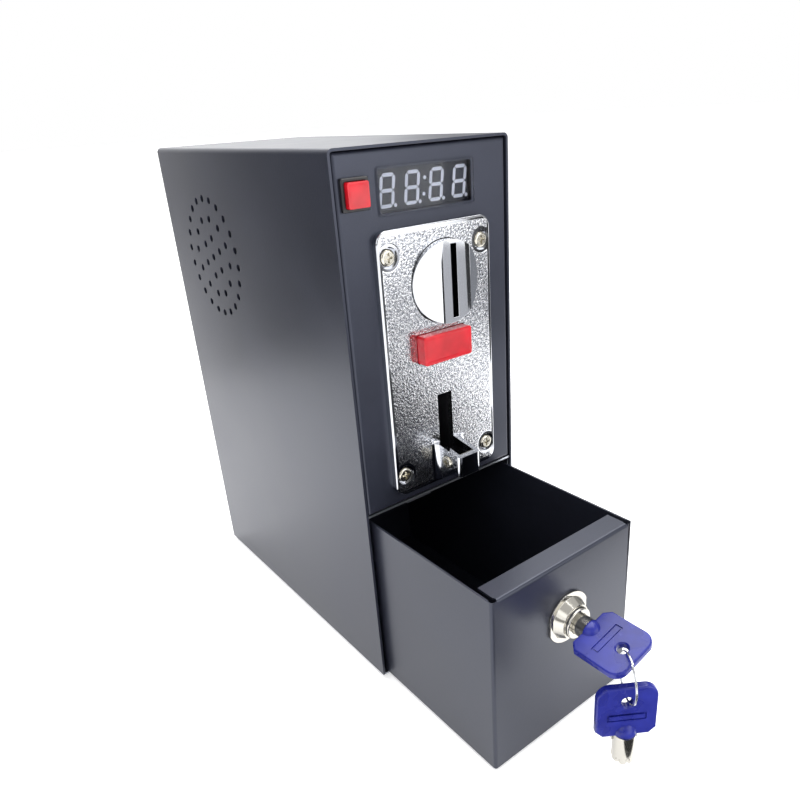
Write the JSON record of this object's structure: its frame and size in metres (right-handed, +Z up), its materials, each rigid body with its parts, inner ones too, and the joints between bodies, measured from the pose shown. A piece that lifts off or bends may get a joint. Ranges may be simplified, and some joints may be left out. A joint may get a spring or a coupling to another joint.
{
  "type": "coin operated timer box",
  "caption": "Black sheet steel control box with a coin acceptor, start button, digit display, side speaker grille and a keyed cash drawer standing open with its keys hanging.",
  "frame": {"origin": "middle of the cabinet footprint, on the floor", "axes": "+X to the right seen from the front, +Y to the back, +Z up; the base faces -Z"},
  "size_m": [0.098, 0.3371, 0.268],
  "materials": {
    "powder_coated_steel": "satin powder coat",
    "zinc_steel": "bright zinc",
    "chromed_zinc": "chromed die casting",
    "nickel_brass": "nickel plated",
    "blue_abs": "glossy",
    "red_plastic": "glossy",
    "black_plastic": "fine grain",
    "clear_acrylic": "clear",
    "grey_module": "matt",
    "segment_white": "diffusing",
    "circuit_board": "solder mask",
    "component_black": "matt",
    "relay_blue": "glossy",
    "terminal_green": "matt",
    "spring_steel": "drawn wire",
    "copper_coil": "enamelled",
    "speaker_paper": "pressed paper",
    "ferrite": "matt",
    "supply_case": "perforated",
    "fuse_glass": "clear",
    "nylon": "moulded nylon",
    "red_wire": "soft sheathed",
    "white_nylon": "moulded nylon"
  },
  "bodies": {
    "cabinet": {"acceptor_board": "circuit_board", "acceptor_body": "black_plastic", "base_chassis": "zinc_steel", "board_parts": "component_black", "board_standoffs": "zinc_steel", "coin_chute": "white_nylon", "coin_entry_disc": "chromed_zinc", "coin_faceplate": "chromed_zinc", "display_board": "circuit_board", "display_module": "grey_module", "display_screws": "zinc_steel", "display_segments": "segment_white", "display_standoffs": "zinc_steel", "display_window": "clear_acrylic", "divider_shelf": "zinc_steel", "faceplate_nuts": "zinc_steel", "faceplate_screws": "nickel_brass", "front_panel": "powder_coated_steel", "gate_pin": "zinc_steel", "gland_body": "nylon", "gland_cap": "nylon", "inlet_body": "black_plastic", "inlet_pins": "nickel_brass", "outer_shell": "powder_coated_steel", "power_supply": "supply_case", "rear_panel": "powder_coated_steel", "reject_spring": "spring_steel", "relay": "relay_blue", "return_stop_screw": "zinc_steel", "sensor_coils": "copper_coil", "shell_screws": "zinc_steel", "solenoid": "component_black", "speaker_cone": "speaker_paper", "speaker_frame": "zinc_steel", "speaker_magnet": "ferrite", "start_button_housing": "black_plastic", "start_button_spring": "spring_steel", "start_switch": "black_plastic", "strike_bracket": "zinc_steel", "terminal_block": "terminal_green", "timer_board": "circuit_board", "wiring": "red_wire"},
    "drawer": {"drawer_tray": "powder_coated_steel", "lock_body": "chromed_zinc", "lock_nut": "zinc_steel"},
    "lock_turning": {"lock_plug": "chromed_zinc", "lock_cam": "zinc_steel", "cam_screw": "zinc_steel"},
    "key": {"key_bow": "blue_abs", "key_shank": "chromed_zinc"},
    "ring": {"key_ring": "zinc_steel"},
    "spare_key": {"spare_key_bow": "blue_abs", "spare_key_shank": "chromed_zinc"},
    "reject": {"reject_button": "red_plastic"},
    "gate": {"acceptor_gate": "white_nylon"},
    "plunger": {"solenoid_plunger": "zinc_steel"},
    "start_cap": {"start_button_cap": "red_plastic"},
    "rocker": {"inlet_rocker": "black_plastic"},
    "fuse_carrier": {"fuse_drawer": "black_plastic", "fuse": "fuse_glass"}
  },
  "joints": [
    {"name": "drawer_slide", "type": "slide", "parent": "cabinet", "child": "drawer", "axis": [0, -1, 0], "range_m": [-0.084, 0.069]},
    {"name": "lock_turn", "type": "hinge", "parent": "drawer", "child": "lock_turning", "pos_m": [0.0012, -0.18, 0.0645], "axis": [0, -1, 0], "range_deg": [-14, 76]},
    {"name": "key_pull", "type": "slide", "parent": "lock_turning", "child": "key", "axis": [0, -1, 0], "range_m": [0, 0.012]},
    {"name": "ring_swing", "type": "hinge", "parent": "key", "child": "ring", "pos_m": [0.0012, -0.2113, 0.0645], "axis": [-0.5592, -0.829, 0], "range_deg": [-18, 18]},
    {"name": "spare_key_swing", "type": "hinge", "parent": "ring", "child": "spare_key", "pos_m": [-0.00337, -0.21808, 0.04614], "axis": [0.829, -0.5592, 0], "range_deg": [-12, 12]},
    {"name": "reject_press", "type": "slide", "parent": "cabinet", "child": "reject", "axis": [0, 1, 0], "range_m": [0, 0.0035], "stiffness_N_per_m": 400, "springref_m": -0.002, "deforming": ["reject_spring"]},
    {"name": "gate_open", "type": "hinge", "parent": "cabinet", "child": "gate", "pos_m": [0.011, -0.0575, 0.18], "axis": [0, 0, 1], "range_deg": [0, 9.7]},
    {"name": "plunger_slide", "type": "slide", "parent": "cabinet", "child": "plunger", "axis": [1, 0, 0], "range_m": [0, 0.003]},
    {"name": "start_press", "type": "slide", "parent": "cabinet", "child": "start_cap", "axis": [0, 1, 0], "range_m": [0, 0.0015], "stiffness_N_per_m": 600, "springref_m": -0.001, "deforming": ["start_button_spring"]},
    {"name": "rocker_tip", "type": "hinge", "parent": "cabinet", "child": "rocker", "pos_m": [-0.018, 0.0952, 0.1635], "axis": [1, 0, 0], "range_deg": [0, 22]},
    {"name": "fuse_drawer_slide", "type": "slide", "parent": "cabinet", "child": "fuse_carrier", "axis": [0, 1, 0], "range_m": [0, 0.016]}
  ],
  "couplings": [
    {"joint": "gate_open", "follows": "reject_press", "rad_per_m": 48}
  ]
}
